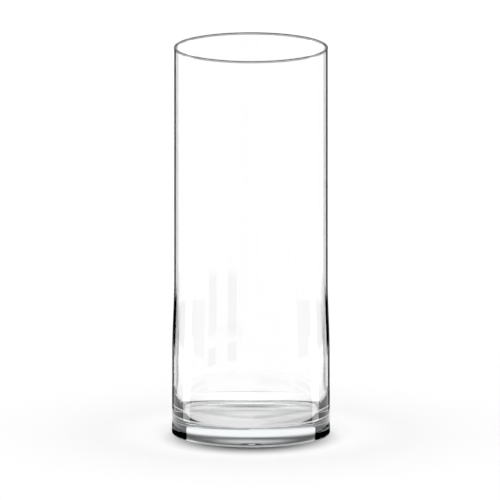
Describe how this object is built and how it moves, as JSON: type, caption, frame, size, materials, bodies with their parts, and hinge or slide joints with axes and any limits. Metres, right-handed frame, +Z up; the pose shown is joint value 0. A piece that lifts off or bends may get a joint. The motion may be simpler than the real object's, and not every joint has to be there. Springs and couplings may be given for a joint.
{
  "type": "glass cylinder vase",
  "caption": "Tall clear glass cylinder vase with a fire-polished rim, a thin straight upper wall, a slightly fuller lower wall and a thick solid base.",
  "frame": {"origin": "middle of the foot, on the surface that the vase stands on", "axes": "+Z up along the vase's axis, out of its mouth; the vase is the same all the way round, so X and Y are free"},
  "size_m": [0.1004, 0.1004, 0.25],
  "materials": {
    "clear_glass": "polished clear soda-lime glass"
  },
  "bodies": {
    "root": {"glass_vase": "clear_glass"}
  },
  "joints": []
}
